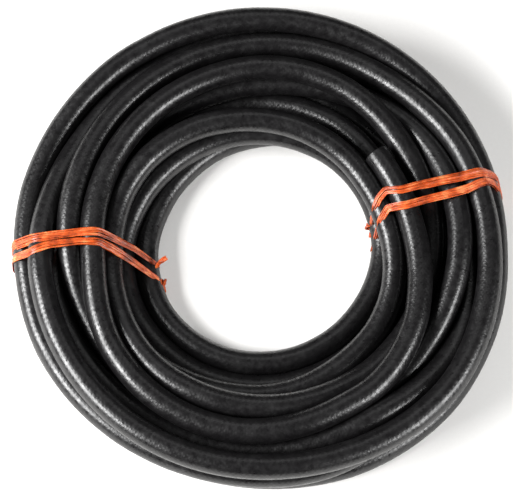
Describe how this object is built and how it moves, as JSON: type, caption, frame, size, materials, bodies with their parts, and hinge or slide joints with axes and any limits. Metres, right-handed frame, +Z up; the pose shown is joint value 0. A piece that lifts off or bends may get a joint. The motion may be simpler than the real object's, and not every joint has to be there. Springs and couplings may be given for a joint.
{
  "type": "coil of fuel hose",
  "caption": "Coil of black rubber fuel hose lying flat, with one open cut end on top and held by orange twine ties.",
  "frame": {"origin": "centre of the object's box, on the level surface that the coil lies on", "axes": "+Z up along the coil's axis; +X to the right and +Y away from the camera, as in the picture; the ties lie near -X and +X"},
  "size_m": [0.3038, 0.3016, 0.0451],
  "materials": {
    "hose_rubber": "black rubber cover with the faint print of a cloth wrap, half gloss",
    "tie_twine": "orange polypropylene film twine, split into fibres, glossy"
  },
  "bodies": {
    "root": {"hose_coil": "hose_rubber", "tie_left": "tie_twine", "tie_right": "tie_twine"}
  },
  "joints": []
}
